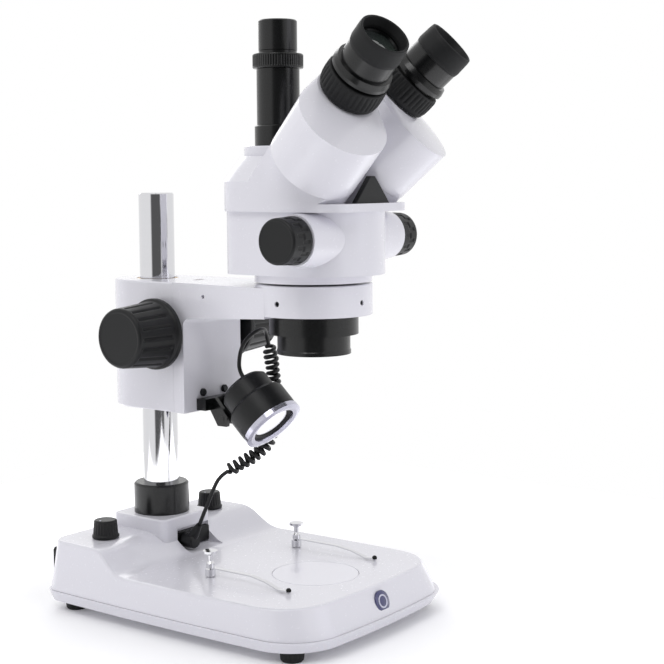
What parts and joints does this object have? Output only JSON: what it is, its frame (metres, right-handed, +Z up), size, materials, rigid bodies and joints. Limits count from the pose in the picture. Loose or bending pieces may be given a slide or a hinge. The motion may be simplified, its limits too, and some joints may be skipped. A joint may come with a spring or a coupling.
{
  "type": "stereo microscope",
  "caption": "Stereo zoom microscope with inclined eyepieces, photo port, pillar stand, lit base and a tilting lamp on a curled cord.",
  "frame": {"origin": "on the bench surface, below the centre of the object's own box", "axes": "+Z up along the pillar, -Y towards the observer, +X to the observer's right"},
  "size_m": [0.228, 0.3489, 0.5147],
  "materials": {
    "white_enamel": "gloss",
    "black_moulding": "satin",
    "black_rubber": "matte",
    "black_anodised": "satin",
    "chromed_steel": "mirror",
    "screw_steel": "satin",
    "bearing_brass": "satin",
    "optical_glass": "gloss",
    "opal_plastic": "satin",
    "bright_ring": "satin",
    "circuit_board": "satin",
    "cord_jacket": "satin"
  },
  "bodies": {
    "stand": {"base_shell": "white_enamel", "base_tray": "black_moulding", "rubber_feet": "black_rubber", "base_screws": "screw_steel", "pillar": "chromed_steel", "pillar_collar": "black_anodised", "rear_panel": "black_moulding", "power_inlet": "black_moulding", "driver_board": "circuit_board", "stage_light": "circuit_board", "lamp_socket": "black_moulding", "lamp_plug": "black_moulding", "cord_lead_lower": "cord_jacket"},
    "power_switch": {"power_rocker": "black_moulding"},
    "dimmer_left": {"dimmer_knob_left": "black_moulding"},
    "dimmer_right": {"dimmer_knob_right": "black_moulding"},
    "stage_insert": {"stage_plate": "opal_plastic"},
    "clip_left": {"stage_clip_left": "chromed_steel"},
    "clip_right": {"stage_clip_right": "chromed_steel"},
    "bush": {"pillar_bush": "bearing_brass"},
    "block": {"focus_block": "white_enamel"},
    "height_lock": {"pillar_lock_knob": "black_moulding"},
    "focus_drive": {"focus_pinion": "screw_steel", "focus_knob_left": "black_moulding", "focus_knob_right": "black_moulding"},
    "carriage": {"arm": "white_enamel", "focus_rack": "bearing_brass", "carriage_screws": "screw_steel", "lamp_bracket": "black_anodised", "cord_curl": "cord_jacket"},
    "head": {"lower_housing": "white_enamel", "upper_housing": "white_enamel", "objective_barrel": "black_anodised", "objective_lens": "optical_glass", "head_screws": "screw_steel", "photo_sleeve": "black_anodised"},
    "zoom_drive": {"zoom_shaft": "screw_steel", "zoom_knob_left": "black_moulding", "zoom_knob_right": "black_moulding"},
    "upper_carrier": {"upper_lens_carrier": "screw_steel"},
    "lower_carrier": {"lower_lens_carrier": "screw_steel"},
    "drum_left": {"prism_housing_left": "white_enamel", "prism_left": "optical_glass"},
    "drum_right": {"prism_housing_right": "white_enamel", "prism_right": "optical_glass"},
    "diopter_left": {"diopter_ring_left": "black_rubber"},
    "diopter_right": {"diopter_ring_right": "black_rubber"},
    "ocular_left": {"eyepiece_left": "black_anodised", "eyecup_left": "black_rubber", "eye_lens_left": "optical_glass"},
    "ocular_right": {"eyepiece_right": "black_anodised", "eyecup_right": "black_rubber", "eye_lens_right": "optical_glass"},
    "photo_lock": {"photo_lock_ring": "black_anodised"},
    "photo_port": {"photo_tube": "black_anodised"},
    "lamp": {"lamp_housing": "black_moulding", "lamp_bezel": "bright_ring", "lamp_lens": "opal_plastic", "lamp_leds": "circuit_board", "cord_lead_upper": "cord_jacket"}
  },
  "joints": [
    {"name": "power_switch_rock", "type": "hinge", "parent": "stand", "child": "power_switch", "pos_m": [-0.062, 0.1691, 0.0365], "axis": [1, 0, 0], "range_deg": [-6.88, 6.88]},
    {"name": "dimmer_left_turn", "type": "hinge", "parent": "stand", "child": "dimmer_left", "pos_m": [-0.0704, 0.128, 0.0628], "axis": [0, 0, 1], "range_deg": [0, 269.98]},
    {"name": "dimmer_right_turn", "type": "hinge", "parent": "stand", "child": "dimmer_right", "pos_m": [0.0704, 0.128, 0.0628], "axis": [0, 0, 1], "range_deg": [0, 269.98]},
    {"name": "stage_plate_lift", "type": "slide", "parent": "stand", "child": "stage_insert", "axis": [0, 0, 1], "range_m": [0, 0.03]},
    {"name": "clip_left_swing", "type": "hinge", "parent": "stand", "child": "clip_left", "pos_m": [-0.0602, 0.013, 0.043], "axis": [0, 0, 1], "range_deg": [-20.05, 29.79]},
    {"name": "clip_right_swing", "type": "hinge", "parent": "stand", "child": "clip_right", "pos_m": [0.0602, 0.013, 0.043], "axis": [0, 0, -1], "range_deg": [-20.05, 29.79]},
    {"name": "pillar_slide", "type": "slide", "parent": "stand", "child": "bush", "axis": [0, 0, 1], "range_m": [-0.05, 0.07], "deforming": ["cord_lead_lower"]},
    {"name": "pillar_swivel", "type": "hinge", "parent": "bush", "child": "block", "pos_m": [0, 0.1251, 0.235], "axis": [0, 0, 1], "range_deg": [-89.95, 89.95]},
    {"name": "pillar_lock", "type": "hinge", "parent": "block", "child": "height_lock", "pos_m": [0.05, 0.1251, 0.205], "axis": [1, 0, 0], "range_deg": [0, 179.91]},
    {"name": "focus_slide", "type": "slide", "parent": "block", "child": "carriage", "axis": [0, 0, 1], "range_m": [-0.02, 0.02], "deforming": ["cord_curl"]},
    {"name": "focus_turn", "type": "hinge", "parent": "block", "child": "focus_drive", "pos_m": [0, 0.084, 0.247], "axis": [1, 0, 0], "range_deg": [-155.27, 155.27]},
    {"name": "head_turn", "type": "hinge", "parent": "carriage", "child": "head", "pos_m": [0, -0.0544, 0.281], "axis": [0, 0, 1], "range_deg": [-89.95, 89.95]},
    {"name": "zoom_turn", "type": "hinge", "parent": "head", "child": "zoom_drive", "pos_m": [0, -0.084, 0.3333], "axis": [1, 0, 0], "range_deg": [0, 63.02]},
    {"name": "upper_lens_slide", "type": "slide", "parent": "head", "child": "upper_carrier", "axis": [0, 0, 1], "range_m": [0, 0.0063]},
    {"name": "lower_lens_slide", "type": "slide", "parent": "head", "child": "lower_carrier", "axis": [0, 0, -1], "range_m": [0, 0.0065]},
    {"name": "drum_left_turn", "type": "hinge", "parent": "head", "child": "drum_left", "pos_m": [-0.0498, -0.1223, 0.4281], "axis": [-0.1987, -0.7132, 0.6722], "range_deg": [-11.46, 34.38]},
    {"name": "drum_right_turn", "type": "hinge", "parent": "head", "child": "drum_right", "pos_m": [0.0498, -0.1223, 0.4281], "axis": [-0.1987, 0.7132, -0.6722], "range_deg": [-11.46, 34.38]},
    {"name": "diopter_left_turn", "type": "hinge", "parent": "drum_left", "child": "diopter_left", "pos_m": [-0.03422, -0.11109, 0.4446], "axis": [-0.1987, -0.7132, 0.6722], "range_deg": [-105.42, 105.42]},
    {"name": "eyepiece_left_slide", "type": "slide", "parent": "drum_left", "child": "ocular_left", "axis": [-0.1987, -0.7132, 0.6722], "range_m": [-0.0022, 0.0022]},
    {"name": "diopter_right_turn", "type": "hinge", "parent": "drum_right", "child": "diopter_right", "pos_m": [0.03422, -0.11109, 0.4446], "axis": [0.1987, -0.7132, 0.6722], "range_deg": [-105.42, 105.42]},
    {"name": "eyepiece_right_slide", "type": "slide", "parent": "drum_right", "child": "ocular_right", "axis": [0.1987, -0.7132, 0.6722], "range_m": [-0.0022, 0.0022]},
    {"name": "photo_lock_turn", "type": "hinge", "parent": "head", "child": "photo_lock", "pos_m": [0, -0.0183, 0.48], "axis": [0, 0, 1], "range_deg": [-45.84, 45.84]},
    {"name": "photo_tube_slide", "type": "slide", "parent": "head", "child": "photo_port", "axis": [0, 0, 1], "range_m": [-0.018, 0.018]},
    {"name": "lamp_tilt", "type": "hinge", "parent": "carriage", "child": "lamp", "pos_m": [0, 0.0411, 0.17], "axis": [1, 0, 0], "range_deg": [-11.46, 17.19], "deforming": ["cord_lead_upper"]}
  ],
  "couplings": [
    {"joint": "focus_turn", "follows": "focus_slide", "rad_per_m": -135.14},
    {"joint": "zoom_turn", "follows": "upper_lens_slide", "rad_per_m": 172.41},
    {"joint": "lower_lens_slide", "follows": "upper_lens_slide", "ratio": 1},
    {"joint": "drum_right_turn", "follows": "drum_left_turn", "ratio": 1},
    {"joint": "diopter_left_turn", "follows": "eyepiece_left_slide", "rad_per_m": 833.33},
    {"joint": "diopter_right_turn", "follows": "eyepiece_right_slide", "rad_per_m": 833.33}
  ]
}
